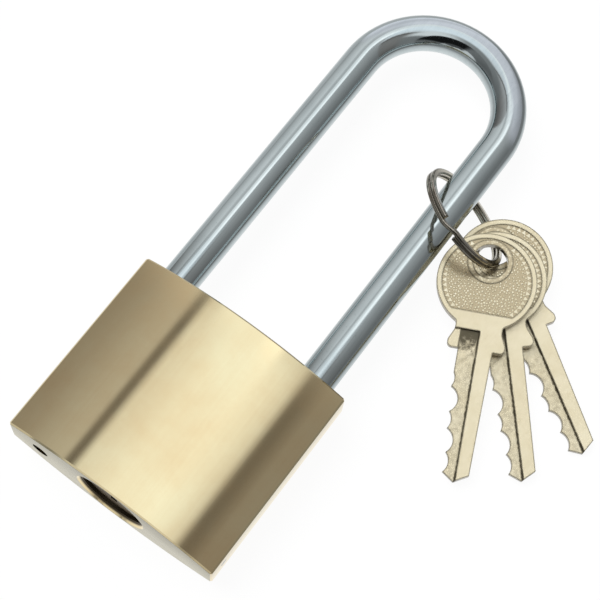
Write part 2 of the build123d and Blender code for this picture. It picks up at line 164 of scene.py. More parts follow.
# Streaks in a finish run along the direction with the smallest number.
ALONG_Y = (1900.0, 24.0, 1900.0)
ALONG_X = (30.0, 2400.0, 2400.0)
EVEN = (900.0, 900.0, 900.0)
KEY_STREAKS = (1100.0, 500.0, 1100.0)
TURNED_STREAKS = (900.0, 2600.0, 900.0)
BAR_STREAKS = (1500.0, 45.0, 1500.0)
SAW_STREAKS = (60.0, 60.0, 2400.0)
SPECK_SCALE = 1500.0
KEY_CLOUD_SCALE = 900.0
KEY_METALLIC = 0.65  # satin nickel, partly a plain surface

# A finish or mask comes in from the first value of its noise or pattern to the second.
CLOUD_RANGE = (0.38, 0.70)
STREAK_RANGE = (0.35, 0.70)
SPECK_RANGE = (0.66, 0.74)
SAW_LINE_RANGE = (0.30, 0.70)
STEP_LINE_RANGE = (0.35, 0.65)
ROOT_SHADE_RANGE = (0.36, 0.64)
PATCH_RANGE = (0.42, 0.66)
PATCH_SHARES = (0.05, 0.36)  # of the thin dirt on the milling, at either end of its range
STRUCK_RANGE = (0.28, 0.52)

# An edge, a cut side or a wire's crown is told by how far two directions agree, 1 being wholly.
EDGE_START = 0.99
LOCK_EDGE_FULL = 0.82
KEY_EDGE_FULL = 0.93
CUT_SIDE_RANGE = (0.75, 0.25)
CROWN_RANGE = (0.975, 1.0)

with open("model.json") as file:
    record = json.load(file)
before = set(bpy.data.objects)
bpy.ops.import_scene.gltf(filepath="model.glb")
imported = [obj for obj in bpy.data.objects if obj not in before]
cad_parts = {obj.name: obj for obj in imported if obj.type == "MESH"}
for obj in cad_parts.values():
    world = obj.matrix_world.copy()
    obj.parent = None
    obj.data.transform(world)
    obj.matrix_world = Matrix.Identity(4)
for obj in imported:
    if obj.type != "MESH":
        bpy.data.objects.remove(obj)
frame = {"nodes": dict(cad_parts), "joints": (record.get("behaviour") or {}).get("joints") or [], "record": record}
cad_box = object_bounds()
joint_of = {joint["child"]: joint for joint in frame["joints"]}


def size_of(node):
    """The size of a CAD node's box at rest, in x, y and z."""
    low, high = (Vector(corner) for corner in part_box(node))
    return high - low


def middle_of(node):
    """The middle of a CAD node's box at rest."""
    low, high = (Vector(corner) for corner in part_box(node))
    return (low + high) / 2


def linked(name, data):
    """A new object in the scene, at the origin."""
    thing = bpy.data.objects.new(name, data)
    bpy.context.scene.collection.objects.link(thing)
    return thing


# ---- node helpers --------------------------------------------------------------
def new_group(name, kind, inputs, outputs):
    """A node group with named sockets, each given as (name, socket type, default)."""
    group = bpy.data.node_groups.new(name, kind)
    for direction, sockets in (("INPUT", inputs), ("OUTPUT", outputs)):
        for label, socket_type, default in sockets:
            socket = group.interface.new_socket(label, in_out=direction, socket_type=socket_type)
            if default is not None:
                socket.default_value = default
    return group, group.nodes.new("NodeGroupInput"), group.nodes.new("NodeGroupOutput")


def feed(tree, socket, value):
    """Link another socket to this one, or write a plain value into it."""
    if isinstance(value, bpy.types.NodeSocket):
        tree.links.new(value, socket)
    else:
        socket.default_value = value


def maths(tree, operation, first, second=None):
    """A Math node; returns its output."""
    node = tree.nodes.new("ShaderNodeMath")
    node.operation = operation
    feed(tree, node.inputs[0], first)
    if second is not None:
        feed(tree, node.inputs[1], second)
    return node.outputs[0]


def product(tree, first, *others):
    """The product of several values."""
    for other in others:
        first = maths(tree, "MULTIPLY", first, other)
    return first


def vector_maths(tree, operation, first, second=None, output="Vector"):
    """A Vector Math node; returns the named output."""
    node = tree.nodes.new("ShaderNodeVectorMath")
    node.operation = operation
    feed(tree, node.inputs[0], first)
    if second is not None:
        feed(tree, node.inputs[1], second)
    return node.outputs[output]


def split_up(tree, vector):
    """The x, y and z of a vector, as three sockets."""
    node = tree.nodes.new("ShaderNodeSeparateXYZ")
    tree.links.new(vector, node.inputs["Vector"])
    return node.outputs["X"], node.outputs["Y"], node.outputs["Z"]


def blended(tree, factor, first, second):
    """A colour Mix node; returns its output."""
    node = tree.nodes.new("ShaderNodeMix")
    node.data_type = "RGBA"
    feed(tree, node.inputs[0], factor)
    feed(tree, node.inputs[6], first)
    feed(tree, node.inputs[7], second)
    return node.outputs[2]


def noise(tree, vector, scale, detail=3.0, roughness=0.5):
    """A Noise Texture; returns its value output."""
    node = tree.nodes.new("ShaderNodeTexNoise")
    feed(tree, node.inputs["Vector"], vector)
    feed(tree, node.inputs["Scale"], scale)
    feed(tree, node.inputs["Detail"], detail)
    feed(tree, node.inputs["Roughness"], roughness)
    return node.outputs["Fac"]


def spread(tree, value, low, high, to_low=0.0, to_high=1.0):
    """A clamped Map Range node; returns its output."""
    node = tree.nodes.new("ShaderNodeMapRange")
    feed(tree, node.inputs["Value"], value)
    feed(tree, node.inputs["From Min"], low)
    feed(tree, node.inputs["From Max"], high)
    feed(tree, node.inputs["To Min"], to_low)
    feed(tree, node.inputs["To Max"], to_high)
    return node.outputs["Result"]


# ---- shader groups -------------------------------------------------------------
def make_worked_metal():
    """Metal with drawn or brushed streaks, cloudy haze and small handling marks."""
    group, given, result = new_group(
        "worked_metal",
        "ShaderNodeTree",
        (
            ("Tone", "NodeSocketColor", (0.8, 0.8, 0.8, 1.0)),
            ("Hazed Tone", "NodeSocketColor", (0.6, 0.6, 0.6, 1.0)),
            ("Streak Stretch", "NodeSocketVector", (1.0, 1.0, 1.0)),
            ("Streak Share", "NodeSocketFloat", 0.4),
            ("Cloud Scale", "NodeSocketFloat", 60.0),
            ("Roughness Low", "NodeSocketFloat", 0.15),
            ("Roughness High", "NodeSocketFloat", 0.3),
            ("Marks", "NodeSocketFloat", 0.3),
        ),
        (
            ("Color", "NodeSocketColor", None),
            ("Roughness", "NodeSocketFloat", None),
            ("Height", "NodeSocketFloat", None),
        ),
    )
    place = group.nodes.new("ShaderNodeTexCoord").outputs["Object"]
    stretched = vector_maths(group, "MULTIPLY", place, given.outputs["Streak Stretch"])
    streaks = noise(group, stretched, 1.0, detail=4.0, roughness=0.6)
    clouds = noise(group, place, given.outputs["Cloud Scale"], detail=4.0, roughness=0.6)
    specks = noise(group, place, SPECK_SCALE, detail=2.0)
    marks = product(group, spread(group, specks, *SPECK_RANGE), given.outputs["Marks"])
    streak_share = given.outputs["Streak Share"]
    cloud_share = maths(group, "SUBTRACT", 1.0, streak_share)
    clouded = product(group, spread(group, clouds, *CLOUD_RANGE), cloud_share)
    streaked = product(group, spread(group, streaks, *STREAK_RANGE), streak_share)
    haze = maths(group, "ADD", clouded, streaked)
    haze = maths(group, "MINIMUM", maths(group, "ADD", haze, marks), 1.0)
    colour = blended(group, haze, given.outputs["Tone"], given.outputs["Hazed Tone"])
    rough = spread(
        group, haze, 0.0, 1.0, given.outputs["Roughness Low"], given.outputs["Roughness High"]
    )
    height = maths(group, "ADD", streaks, product(group, marks, -SPECK_DEPTH))
    group.links.new(colour, result.inputs["Color"])
    group.links.new(rough, result.inputs["Roughness"])
    group.links.new(height, result.inputs["Height"])
    return group


def make_edge_mask():
    """White on sharp edges and black on open faces."""
    group, given, result = new_group(
        "edge_mask",
        "ShaderNodeTree",
        (("Radius", "NodeSocketFloat", RUBBED_EDGE), ("Full At", "NodeSocketFloat", LOCK_EDGE_FULL)),
        (("Mask", "NodeSocketFloat", None),),
    )
    rounded = group.nodes.new("ShaderNodeBevel")
    rounded.samples = 6
    group.links.new(given.outputs["Radius"], rounded.inputs["Radius"])
    true_normal = group.nodes.new("ShaderNodeNewGeometry").outputs["Normal"]
    agreement = vector_maths(group, "DOT_PRODUCT", rounded.outputs["Normal"], true_normal, "Value")
    mask = spread(group, agreement, EDGE_START, given.outputs["Full At"])
    group.links.new(mask, result.inputs["Mask"])
    return group


def make_round_bore():
    """White inside a round bore that runs along Y from its start to its end, black outside it."""
    group, given, result = new_group(
        "round_bore",
        "ShaderNodeTree",
        (
            ("Axis", "NodeSocketVector", (0.0, 0.0, 0.0)),
            ("Radius", "NodeSocketFloat", LEG_BORE_SHADE),
            ("Start", "NodeSocketFloat", 0.0),
            ("End", "NodeSocketFloat", BORE_END),
        ),
        (("Mask", "NodeSocketFloat", None),),
    )
    place = group.nodes.new("ShaderNodeTexCoord").outputs["Object"]
    flat = vector_maths(group, "MULTIPLY", place, (1.0, 0.0, 1.0))
    away = vector_maths(group, "DISTANCE", flat, given.outputs["Axis"], "Value")
    past_wall = maths(group, "SUBTRACT", away, given.outputs["Radius"])
    height = split_up(group, place)[1]
    past_start = maths(group, "SUBTRACT", height, given.outputs["Start"])
    before_end = maths(group, "SUBTRACT", given.outputs["End"], height)
    inside = product(
        group,
        spread(group, past_start, 0.0, BORE_FADE),
        spread(group, before_end, 0.0, BORE_FADE),
        spread(group, past_wall, BORE_EDGE, 0.0),
    )
    group.links.new(inside, result.inputs["Mask"])
    return group


def make_key_shading():
    """Masks for a key: dark lines along the milled step and the lug, painted shade where the milling starts with
    thin dirt patches along it, the sunk field, and painted shade in struck pits.
    """
    group, given, result = new_group(
        "key_shading",
        "ShaderNodeTree",
        (("Place", "NodeSocketVector", (0.0, 0.0, 0.0)),),
        (
            ("Shade and Dirt", "NodeSocketFloat", None),
            ("Field", "NodeSocketFloat", None),
            ("Pit Shade", "NodeSocketFloat", None),
        ),
    )
    place = given.outputs["Place"]
    along, across, up = split_up(group, place)
    cloudy = noise(group, place, KEY_CLOUD_SCALE, detail=4.0, roughness=0.7)
    on_top = maths(group, "GREATER_THAN", up, LOWEST_SHADE_AND_DIRT)
    in_milling = maths(group, "GREATER_THAN", along, MILLING_START)
    # A ragged dark line runs along the milled step.
    from_step = maths(group, "SUBTRACT", across, MILLING_EDGE - STEP_LINE_SHIFT)
    ragged = product(group, spread(group, cloudy, *STEP_LINE_RANGE), STEP_LINE_WAVER)
    from_line = maths(group, "ADD", maths(group, "ABSOLUTE", from_step), ragged)
    line = spread(group, from_line, STEP_LINE_REACH, STEP_LINE_CORE, 0.0, STEP_LINE_SHARE)
    line = product(group, line, in_milling, on_top)
    # Painted shade lies where the milling starts, below the step, and thin patches of dirt lie all along the
    # blade.
    past_start = maths(group, "SUBTRACT", along, MILLING_START)
    waver = spread(group, cloudy, *ROOT_SHADE_RANGE, ROOT_SHADE_WAVER, -ROOT_SHADE_WAVER)
    reach = maths(group, "ADD", past_start, waver)
    root_shade = spread(group, reach, ROOT_SHADE_END, ROOT_SHADE_FULL, 0.0, ROOT_SHADE_SHARE)
    milled_side = maths(group, "LESS_THAN", across, MILLING_EDGE + LEVEL_PLAY)
    on_blade = maths(group, "GREATER_THAN", across, -BLADE_HALF_HEIGHT)
    milled = product(group, in_milling, milled_side, on_top, on_blade)
    patches = product(group, milled, spread(group, cloudy, *PATCH_RANGE, *PATCH_SHARES))
    shade_and_dirt = maths(group, "MAXIMUM", product(group, milled, root_shade), patches)
    # The shoulder's lug stays clean, with a dark line where it meets the blade.
    from_lug = maths(group, "ABSOLUTE", maths(group, "ADD", across, BLADE_HALF_HEIGHT))
    lug_line = spread(group, from_lug, LUG_LINE_REACH, LUG_LINE_CORE, 0.0, LUG_LINE_SHARE)
    at_lug = maths(group, "LESS_THAN", along, BLADE_START)
    lug_line = product(group, lug_line, on_top, in_milling, at_lug)
    line = maths(group, "MAXIMUM", line, lug_line)
    # The sunk field of the bow is painted darker between its pebbles, a painted shade.
    centred = vector_maths(group, "SUBTRACT", place, (BOW_OFFSET, 0.0, 0.0))
    centred = vector_maths(group, "MULTIPLY", centred, (1.0, 1.0, 0.0))
    flat = vector_maths(group, "MULTIPLY", place, (1.0, 1.0, 0.0))
    from_centre = vector_maths(group, "LENGTH", centred, output="Value")
    from_hole = vector_maths(group, "LENGTH", flat, output="Value")
    field = product(
        group,
        maths(group, "LESS_THAN", from_centre, FIELD_RADIUS),
        maths(group, "GREATER_THAN", from_hole, HOLE_COLLAR),
        maths(group, "LESS_THAN", along, BOW_OFFSET + FIELD_LENGTH),
        maths(group, "LESS_THAN", maths(group, "ABSOLUTE", up), FIELD_LEVEL + LEVEL_PLAY),
    )
    # The collar round the hole is struck with the same pebbles, too shallow to be shapes; painted shade darkens
    # the gaps between them.
    cells = group.nodes.new("ShaderNodeTexVoronoi")
    feed(group, cells.inputs["Vector"], centred)
    feed(group, cells.inputs["Scale"], 1 / PEBBLE_PITCH)
    struck_shade = product(
        group,
        spread(group, cells.outputs["Distance"], *STRUCK_RANGE, 0.0, STRUCK_SHADE_SHARE),
        spread(group, from_hole, HOLE_COLLAR, HOLE_COLLAR - COLLAR_FADE),
        spread(group, from_hole, HOLE_COLLAR - COLLAR_INNER_END, HOLE_COLLAR - COLLAR_INNER_FULL),
    )
    group.links.new(maths(group, "MAXIMUM", line, shade_and_dirt), result.inputs["Shade and Dirt"])
    group.links.new(field, result.inputs["Field"])
    group.links.new(struck_shade, result.inputs["Pit Shade"])
    return group


WORKED_METAL = make_worked_metal()
EDGE_MASK = make_edge_mask()
ROUND_BORE = make_round_bore()
KEY_SHADING = make_key_shading()


def placed_group(tree, group, name, values):
    """A group node in a material's tree, with its own values."""
    node = tree.nodes.new("ShaderNodeGroup")
    node.node_tree = group
    node.name = name
    for label, value in values.items():
        feed(tree, node.inputs[label], value)
    return node


def metal(name, tone, hazed, streaks, streak_share, clouds, rough, marks=0.3, relief=0.04):
    """A metal material with the worked_metal finish; returns (material, shader, finish)."""
    material = bpy.data.materials.new(name)
    material.use_nodes = True
    tree = material.node_tree
    shader = tree.nodes["Principled BSDF"]
    shader.inputs["Metallic"].default_value = 1.0
    finish = placed_group(
        tree,
        WORKED_METAL,
        "finish",
        {
            "Tone": (*tone, 1.0),
            "Hazed Tone": (*hazed, 1.0),
            "Streak Stretch": streaks,
            "Streak Share": streak_share,
            "Cloud Scale": clouds,
            "Roughness Low": rough[0],
            "Roughness High": rough[1],
            "Marks": marks,
        },
    )
    bump = tree.nodes.new("ShaderNodeBump")
    bump.inputs["Strength"].default_value = relief
    bump.inputs["Distance"].default_value = RELIEF_DEPTH
    tree.links.new(finish.outputs["Color"], shader.inputs["Base Color"])
    tree.links.new(finish.outputs["Roughness"], shader.inputs["Roughness"])
    tree.links.new(finish.outputs["Height"], bump.inputs["Height"])
    tree.links.new(bump.outputs["Normal"], shader.inputs["Normal"])
    return material, shader, finish


def sawn_ends(tree, colour):
    """Greyer, faintly lined brass on the body's flat ends; returns (colour, mask)."""
    low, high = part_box("body")
    place = tree.nodes.new("ShaderNodeTexCoord").outputs["Object"]
    height = split_up(tree, place)[1]
    bottom = spread(tree, height, low.y + SAWN_SKIN, low.y + SAWN_SKIN / 2)
    top = spread(tree, height, high.y - SAWN_SKIN, high.y - SAWN_SKIN / 2)
    sawn = maths(tree, "MAXIMUM", bottom, top)
    stretched = vector_maths(tree, "MULTIPLY", place, SAW_STREAKS)
    lines = noise(tree, stretched, 1.0, detail=4.0, roughness=0.65)
    share = spread(tree, lines, *SAW_LINE_RANGE)
    lined = blended(tree, share, (*SAWN_BRASS, 1.0), (*SAWN_BRASS_LIGHT, 1.0))
    return blended(tree, sawn, colour, lined), sawn


def make_body_brass():
    """Polished brass with a light haze, brighter edges, greyer sawn ends, and painted shade in the drilled bores,
    which are also rougher.
    """
    material, shader, finish = metal(
        "polished_brass", POLISHED_BRASS, HAZED_BRASS,
        streaks=ALONG_Y, streak_share=0.15, clouds=60.0, rough=(0.055, 0.105), marks=0.15, relief=0.012,
    )
    tree = material.node_tree
    edges = placed_group(tree, EDGE_MASK, "rubbed_edges", {"Radius": RUBBED_EDGE})
    rubbed = product(tree, edges.outputs["Mask"], RUBBED_SHARE)
    colour = blended(tree, rubbed, finish.outputs["Color"], (*RUBBED_BRASS, 1.0))
    colour, sawn = sawn_ends(tree, colour)
    # Each bore is given by the x of its axis, its radius, and the height where its painted shade starts.
    bar = size_of("shackle")
    leg_x = (bar.x - bar.z) / 2
    bores = (
        ("plug_bore", 0.0, PLUG_BORE_SHADE, PLUG_BORE_START),
        ("heel_bore", -leg_x, LEG_BORE_SHADE, HEEL_BORE_START),
        ("toe_bore", leg_x, LEG_BORE_SHADE, TOE_BORE_START),
    )
    inside = 0.0
    for name, x, radius, start in bores:
        values = {"Axis": (x, 0.0, 0.0), "Radius": radius, "Start": start}
        bore = placed_group(tree, ROUND_BORE, name, values)
        inside = maths(tree, "MAXIMUM", bore.outputs["Mask"], inside)
    # The inside of each bore is painted dark, a painted shade.
    colour = blended(tree, inside, colour, (*BORE_SHADE_BRASS, 1.0))
    tree.links.new(colour, shader.inputs["Base Color"])
    dull = maths(
        tree, "MAXIMUM", product(tree, inside, BORE_DULLING), product(tree, sawn, SAWN_DULLING)
    )
    tree.links.new(maths(tree, "ADD", finish.outputs["Roughness"], dull), shader.inputs["Roughness"])
    return material


def key_plane(node, joint):
    """A key's own frame: ring hole at the origin, x along the blade and z out of its front."""
    hole = Vector(joint["pos_m"])
    up = Vector(joint["axis"]).normalized()
    tip = max((v.co for v in frame["nodes"][node].data.vertices), key=lambda p: (p - hole).length)
    along = tip - hole
    along = (along - up * along.dot(up)).normalized()
    across = up.cross(along)
    return Matrix.Translation(hole) @ Matrix((along, across, up)).transposed().to_4x4()


def make_key_nickel(name, plane):
    """Satin nickel of one key, with its painted shade and dirt laid out in the key's own plane."""
    material, shader, finish = metal(
        name, NICKEL, NICKEL_SHADED,
        streaks=KEY_STREAKS, streak_share=0.35, clouds=120.0, rough=(0.17, 0.28),
        marks=0.25, relief=0.03,
    )
    shader.inputs["Metallic"].default_value = KEY_METALLIC
    tree = material.node_tree
    place = tree.nodes.new("ShaderNodeMapping")
    place.vector_type = "TEXTURE"
    place.inputs["Location"].default_value = plane.to_translation()
    place.inputs["Rotation"].default_value = plane.to_euler("XYZ")
    coordinates = tree.nodes.new("ShaderNodeTexCoord")
    tree.links.new(coordinates.outputs["Object"], place.inputs["Vector"])
    shading = placed_group(tree, KEY_SHADING, "key_shading", {"Place": place.outputs["Vector"]})
    # The keys' edges get a painted dark outline, standing in for the dark surroundings they reflect.
    edges = placed_group(tree, EDGE_MASK, "shaded_edges", {"Radius": KEY_SHADED_EDGE, "Full At": KEY_EDGE_FULL})
    # The sunk field is painted darker between the pebbles, a painted shade.
    field = product(tree, shading.outputs["Field"], FIELD_SHADE_SHARE)
    colour = blended(tree, field, finish.outputs["Color"], (*NICKEL_FIELD_SHADE, 1.0))
    # The struck collar's pits get painted shade.
    colour = blended(tree, shading.outputs["Pit Shade"], colour, (*NICKEL_FIELD_SHADE, 1.0))
    # The cut sides get painted shade, darker than the two faces.
    upwards = plane.to_3x3() @ Vector((0.0, 0.0, 1.0))
    facing = vector_maths(tree, "DOT_PRODUCT", coordinates.outputs["Normal"], upwards, "Value")
    shaded_sides = spread(tree, maths(tree, "ABSOLUTE", facing), *CUT_SIDE_RANGE, 0.0, CUT_SIDE_SHADE_SHARE)
    # Painted shade on the edges and cut sides, with the dark lines, painted shade and dirt of the milling, in one
    # dark colour.
    darkened = maths(tree, "MAXIMUM", edges.outputs["Mask"], shading.outputs["Shade and Dirt"])
    darkened = maths(tree, "MAXIMUM", darkened, shaded_sides)
    colour = blended(tree, darkened, colour, (*NICKEL_SHADE_AND_DIRT, 1.0))
    tree.links.new(colour, shader.inputs["Base Color"])
    dull = product(tree, shading.outputs["Shade and Dirt"], SHADE_AND_DIRT_DULLING)
    tree.links.new(maths(tree, "ADD", finish.outputs["Roughness"], dull), shader.inputs["Roughness"])
    return material


def make_ring_steel():
    """Plated spring wire, dark between the turns, with a painted highlight of lighter colour along the crown of
    each turn.
    """
    material, shader, finish = metal(
        "plated_ring_wire", RING_STEEL, RING_STEEL_SHADED,
        streaks=EVEN, streak_share=0.4, clouds=350.0, rough=(0.10, 0.20),
    )
    tree = material.node_tree
    rounded = tree.nodes.new("ShaderNodeBevel")
    rounded.samples = 8
    rounded.inputs["Radius"].default_value = WIRE_ROUNDING
    bump = shader.inputs["Normal"].links[0].from_node
    tree.links.new(rounded.outputs["Normal"], bump.inputs["Normal"])
    # Towards its sides the wire keeps its dark tone; along its crown a lighter colour is painted as a highlight.
    true_normal = tree.nodes.new("ShaderNodeNewGeometry").outputs["True Normal"]
    flatness = vector_maths(tree, "DOT_PRODUCT", rounded.outputs["Normal"], true_normal, "Value")
    crown_highlight = spread(tree, flatness, *CROWN_RANGE)
    colour = blended(tree, crown_highlight, finish.outputs["Color"], (*RING_PAINTED_HIGHLIGHT, 1.0))
    tree.links.new(colour, shader.inputs["Base Color"])
    return material


body_brass = make_body_brass()
# The plug is painted dark brass, as painted shade in its bore.
core_brass_in_shade = metal(
    "turned_core_brass_in_shade", CORE_BRASS_IN_SHADE, CORE_BRASS_SHADED,
    streaks=TURNED_STREAKS, streak_share=0.6, clouds=120.0, rough=(0.38, 0.55),
)[0]
pin_brass = metal(
    "turned_pin_brass", PIN_BRASS, HAZED_BRASS,
    streaks=EVEN, streak_share=0.4, clouds=200.0, rough=(0.2, 0.35),
)[0]
plated_bar = metal(
    "plated_bar", ZINC, ZINC_SHADED,
    streaks=BAR_STREAKS, streak_share=0.45, clouds=70.0, rough=(0.07, 0.13), marks=0.4, relief=0.03,
)[0]
ground_steel = metal(
    "ground_steel", GROUND_STEEL, GROUND_STEEL_SHADED,
    streaks=ALONG_X, streak_share=0.4, clouds=200.0, rough=(0.2, 0.35),
)[0]
ring_steel = make_ring_steel()
# The pebbles and rim marks are painted lighter than the key, a painted highlight.
lit_relief_nickel = metal(
    "lit_struck_nickel", LIT_STRUCK_NICKEL, NICKEL_SHADED,
    streaks=EVEN, streak_share=0.5, clouds=260.0, rough=(0.16, 0.28), marks=0.2, relief=0.05,
)[0]
finish_of_slot = {
    "body_brass": body_brass,
    "plug_brass": core_brass_in_shade,
    "pin_brass": pin_brass,
    "shackle_chrome": plated_bar,
    "hardened_steel": ground_steel,
    "spring_wire": ground_steel,
    "ring_steel": ring_steel,
}

# ---- keys: each has its own plane, and a finish laid out in it -----------------
KEYS = (("key_1", "first_key"), ("key_2", "second_key"), ("key_3", "third_key"))
planes = {node: key_plane(node, joint_of[body]) for node, body in KEYS}
finish_of_key = {node: make_key_nickel(f"nickel_{node}", planes[node]) for node, _ in KEYS}

for part in frame["record"]["subparts"]:
    node = part["node"]
    for slot in frame["nodes"][node].material_slots:
        slot.material = finish_of_key.get(node) or finish_of_slot[part["material_slot"]]


# ---- pebbled fields and rim marks of the bows ----------------------------------
def make_bow_relief():
    """Geometry Nodes: pebbles over the sunk field and a row of marks inside the rim, on both faces."""
    tree, given, result = new_group(
        "bow_relief",
        "GeometryNodeTree",
        (
            ("Geometry", "NodeSocketGeometry", None),
            ("Pebble Ground Radius", "NodeSocketFloat", PEBBLE_GROUND_RADIUS),
            ("Field Length", "NodeSocketFloat", FIELD_LENGTH),
            ("Hole Offset", "NodeSocketFloat", BOW_OFFSET),
            ("Hole Collar", "NodeSocketFloat", HOLE_COLLAR),
            ("Level", "NodeSocketFloat", FIELD_LEVEL),
            ("Pebble Size", "NodeSocketFloat", PEBBLE_SIZE),
            ("Pebble Pitch", "NodeSocketFloat", PEBBLE_PITCH),
            ("Rise", "NodeSocketFloat", PEBBLE_RISE),
            ("Mark Count", "NodeSocketInt", RIM_MARKS),
            ("Mark Radius", "NodeSocketFloat", RIM_MARK_RADIUS),
            ("Mark Size", "NodeSocketFloat", RIM_MARK_SIZE),
            ("Seed", "NodeSocketInt", 1),
            ("Finish", "NodeSocketMaterial", None),
        ),
        (("Geometry", "NodeSocketGeometry", None),),
    )
    value = given.outputs
    nodes = tree.nodes

    def outside_field(margin):
        """True beyond the plain band's edge or on the collar round the hole."""
        position = nodes.new("GeometryNodeInputPosition").outputs["Position"]
        last = maths(tree, "SUBTRACT", value["Field Length"], margin)
        past = maths(tree, "GREATER_THAN", split_up(tree, position)[0], last)
        hole = nodes.new("ShaderNodeCombineXYZ")
        tree.links.new(product(tree, value["Hole Offset"], -1.0), hole.inputs["X"])
        away = vector_maths(tree, "DISTANCE", position, hole.outputs["Vector"], "Value")
        near = maths(tree, "LESS_THAN", away, maths(tree, "ADD", value["Hole Collar"], margin))
        return maths(tree, "MAXIMUM", past, near)

    def kept(geometry, margin):
        """The points of the geometry that lie on the field."""
        delete = nodes.new("GeometryNodeDeleteGeometry")
        delete.domain = "POINT"
        tree.links.new(geometry, delete.inputs["Geometry"])
        tree.links.new(outside_field(margin), delete.inputs["Selection"])
        return delete.outputs["Geometry"]

    # Pebbles, scattered at an even pitch.
    ground = nodes.new("GeometryNodeMeshCircle")
    ground.fill_type = "NGON"
    ground.inputs["Vertices"].default_value = GROUND_CORNERS
    tree.links.new(value["Pebble Ground Radius"], ground.inputs["Radius"])
    scatter = nodes.new("GeometryNodeDistributePointsOnFaces")
    scatter.distribute_method = "POISSON"
    tree.links.new(ground.outputs["Mesh"], scatter.inputs["Mesh"])
    tree.links.new(value["Pebble Pitch"], scatter.inputs["Distance Min"])
    tree.links.new(value["Seed"], scatter.inputs["Seed"])
    spacing = product(tree, value["Pebble Pitch"], value["Pebble Pitch"])
    tree.links.new(maths(tree, "DIVIDE", PEBBLE_CROWDING, spacing), scatter.inputs["Density Max"])
    knob = nodes.new("GeometryNodeMeshCone")
    knob.inputs["Vertices"].default_value = PEBBLE_SIDES
    knob.inputs["Radius Top"].default_value = PEBBLE_TOP
    knob.inputs["Radius Bottom"].default_value = PEBBLE_FOOT
    knob.inputs["Depth"].default_value = PEBBLE_DEPTH
    pebble = nodes.new("GeometryNodeTransform")
    pebble.inputs["Translation"].default_value = (0.0, 0.0, -PEBBLE_DEPTH / 2)
    tree.links.new(knob.outputs["Mesh"], pebble.inputs["Geometry"])
    varied = nodes.new("FunctionNodeRandomValue")
    varied.data_type = "FLOAT"
    varied.inputs[2].default_value = SMALLEST_PEBBLE
    varied.inputs[3].default_value = LARGEST_PEBBLE
    tree.links.new(value["Seed"], varied.inputs["Seed"])
    width = product(tree, value["Pebble Size"], varied.outputs[1])
    size = nodes.new("ShaderNodeCombineXYZ")
    tree.links.new(width, size.inputs["X"])
    tree.links.new(width, size.inputs["Y"])
    tree.links.new(value["Rise"], size.inputs["Z"])
    pebbles = nodes.new("GeometryNodeInstanceOnPoints")
    tree.links.new(kept(scatter.outputs["Points"], PEBBLE_SIZE), pebbles.inputs["Points"])
    tree.links.new(pebble.outputs["Geometry"], pebbles.inputs["Instance"])
    tree.links.new(size.outputs["Vector"], pebbles.inputs["Scale"])

    # A row of three-sided marks inside the rim, each pointing outwards.
    row = nodes.new("GeometryNodeMeshCircle")
    row.fill_type = "NONE"
    tree.links.new(value["Mark Count"], row.inputs["Vertices"])
    tree.links.new(value["Mark Radius"], row.inputs["Radius"])
    mark = nodes.new("GeometryNodeMeshCylinder")
    mark.inputs["Vertices"].default_value = RIM_MARK_SIDES
    tree.links.new(value["Mark Size"], mark.inputs["Radius"])
    tree.links.new(product(tree, value["Rise"], RIM_MARK_DEPTH), mark.inputs["Depth"])
    outwards = nodes.new("FunctionNodeAlignRotationToVector")
    outwards.axis = "X"
    mark_place = nodes.new("GeometryNodeInputPosition").outputs["Position"]
    tree.links.new(mark_place, outwards.inputs["Vector"])
    marks = nodes.new("GeometryNodeInstanceOnPoints")
    tree.links.new(kept(row.outputs["Mesh"], RIM_MARK_SIZE), marks.inputs["Points"])
    tree.links.new(mark.outputs["Mesh"], marks.inputs["Instance"])
    tree.links.new(outwards.outputs["Rotation"], marks.inputs["Rotation"])

    relief = nodes.new("GeometryNodeJoinGeometry")
    tree.links.new(pebbles.outputs["Instances"], relief.inputs["Geometry"])
    tree.links.new(marks.outputs["Instances"], relief.inputs["Geometry"])
    faces = nodes.new("GeometryNodeJoinGeometry")
    for side, turn in ((1.0, 0.0), (-1.0, math.pi)):
        shift = nodes.new("ShaderNodeCombineXYZ")
        tree.links.new(value["Hole Offset"], shift.inputs["X"])
        tree.links.new(product(tree, value["Level"], side), shift.inputs["Z"])
        placed = nodes.new("GeometryNodeTransform")
        tree.links.new(relief.outputs["Geometry"], placed.inputs["Geometry"])
        tree.links.new(shift.outputs["Vector"], placed.inputs["Translation"])
        placed.inputs["Rotation"].default_value = (turn, 0.0, 0.0)
        tree.links.new(placed.outputs["Geometry"], faces.inputs["Geometry"])
    realized = nodes.new("GeometryNodeRealizeInstances")
    tree.links.new(faces.outputs["Geometry"], realized.inputs["Geometry"])
    painted = nodes.new("GeometryNodeSetMaterial")
    tree.links.new(realized.outputs["Geometry"], painted.inputs["Geometry"])
    tree.links.new(value["Finish"], painted.inputs["Material"])
    tree.links.new(painted.outputs["Geometry"], result.inputs["Geometry"])
    return tree


def set_inputs(modifier, values):
    """Set a Geometry Nodes modifier's inputs, found by their names in its tree."""
    for item in modifier.node_group.interface.items_tree:
        if item.item_type == "SOCKET" and item.in_out == "INPUT" and item.name in values:
            modifier[item.identifier] = values[item.name]


BOW_RELIEF = make_bow_relief()


